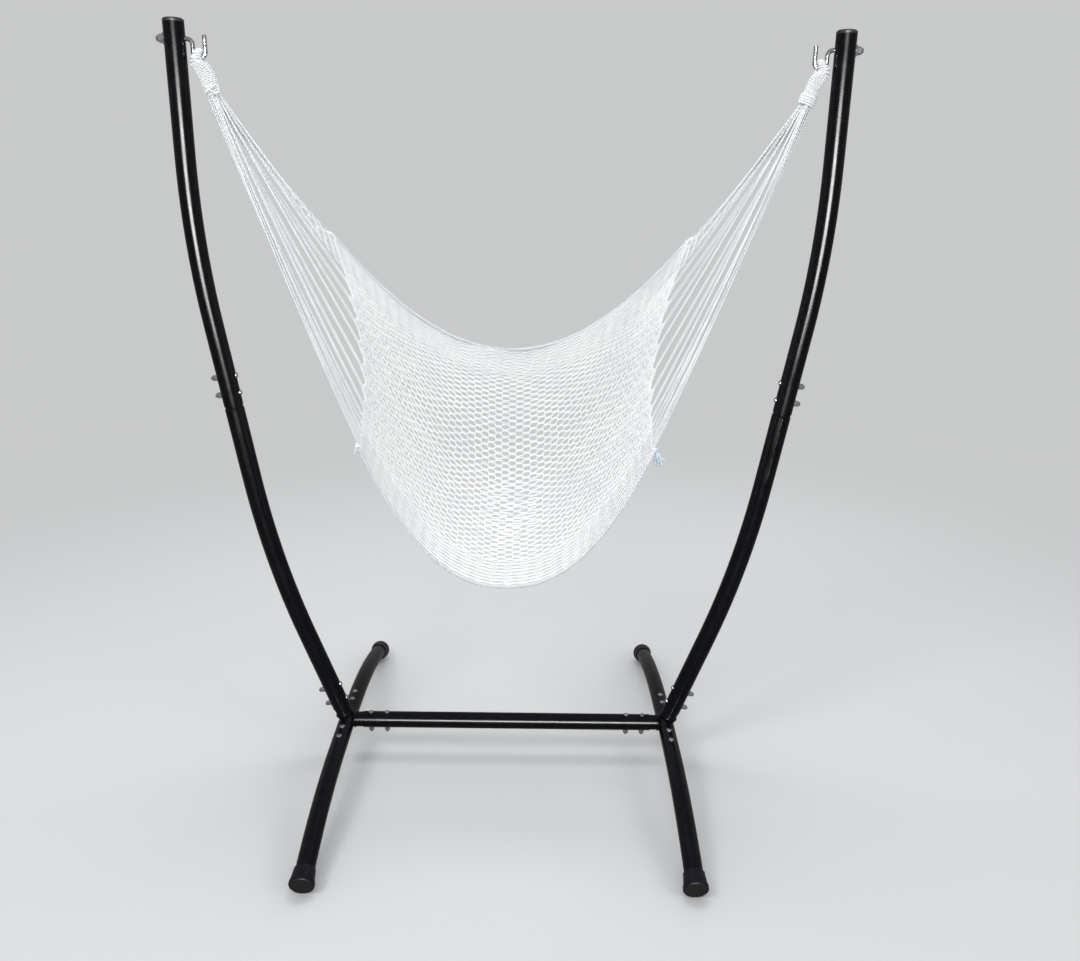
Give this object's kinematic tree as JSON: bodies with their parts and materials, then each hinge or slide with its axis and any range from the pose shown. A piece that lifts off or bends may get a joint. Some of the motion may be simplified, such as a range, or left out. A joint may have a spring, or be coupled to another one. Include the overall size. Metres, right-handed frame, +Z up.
{
  "type": "hammock on stand",
  "caption": "Free-standing frame of bent black steel tube with J-hooks, holding a knotted white cord net seat that hangs between its posts on fans of cord.",
  "frame": {"origin": "on the ground, midway between the four feet", "axes": "+Z up, +X towards the right-hand post, +Y towards the rear, where the net's edge is high"},
  "size_m": [1.626, 1.181, 1.914],
  "materials": {
    "black_paint": "glossy black powder coat on steel tube",
    "chrome": "bright zinc or chrome plate",
    "rubber": "semi-gloss black moulded rubber, matte on the end disc",
    "black_plastic": "satin black moulded plastic",
    "white_net": "soft white twisted cotton-look cord net",
    "white_cord": "soft white twisted cord"
  },
  "bodies": {
    "stand": {"left_upper_post": "black_paint", "right_upper_post": "black_paint", "left_lower_post": "black_paint", "right_lower_post": "black_paint", "left_base_hub": "black_paint", "right_base_hub": "black_paint", "crossbar": "black_paint", "front_left_leg": "black_paint", "front_right_leg": "black_paint", "rear_left_leg": "black_paint", "rear_right_leg": "black_paint", "front_left_foot": "rubber", "front_right_foot": "rubber", "rear_left_foot": "rubber", "rear_right_foot": "rubber", "left_post_cap": "black_plastic", "right_post_cap": "black_plastic", "left_hook": "chrome", "right_hook": "chrome", "hook_washers": "chrome", "hook_dome_nuts": "chrome", "post_joint_bolts": "chrome", "post_joint_washers": "chrome", "post_joint_dome_nuts": "chrome", "hub_post_bolts": "chrome", "hub_post_washers": "chrome", "hub_post_dome_nuts": "chrome", "crossbar_bolts": "chrome", "crossbar_washers": "chrome", "crossbar_dome_nuts": "chrome", "leg_bolts": "chrome", "leg_washers": "chrome", "leg_dome_nuts": "chrome"},
    "hammock": {"seat_net": "white_net", "rear_edge_cord": "white_cord", "front_edge_cord": "white_cord", "left_suspension_cords": "white_cord", "right_suspension_cords": "white_cord", "left_end_loop": "white_cord", "right_end_loop": "white_cord", "left_wrapped_knot": "white_cord", "right_wrapped_knot": "white_cord", "rear_corner_knots": "white_cord", "front_corner_knots": "white_cord"}
  },
  "joints": [
    {"name": "hammock_swing", "type": "hinge", "parent": "stand", "child": "hammock", "pos_m": [0, 0, 1.831], "axis": [1, 0, 0], "range_deg": [-35, 35]}
  ]
}
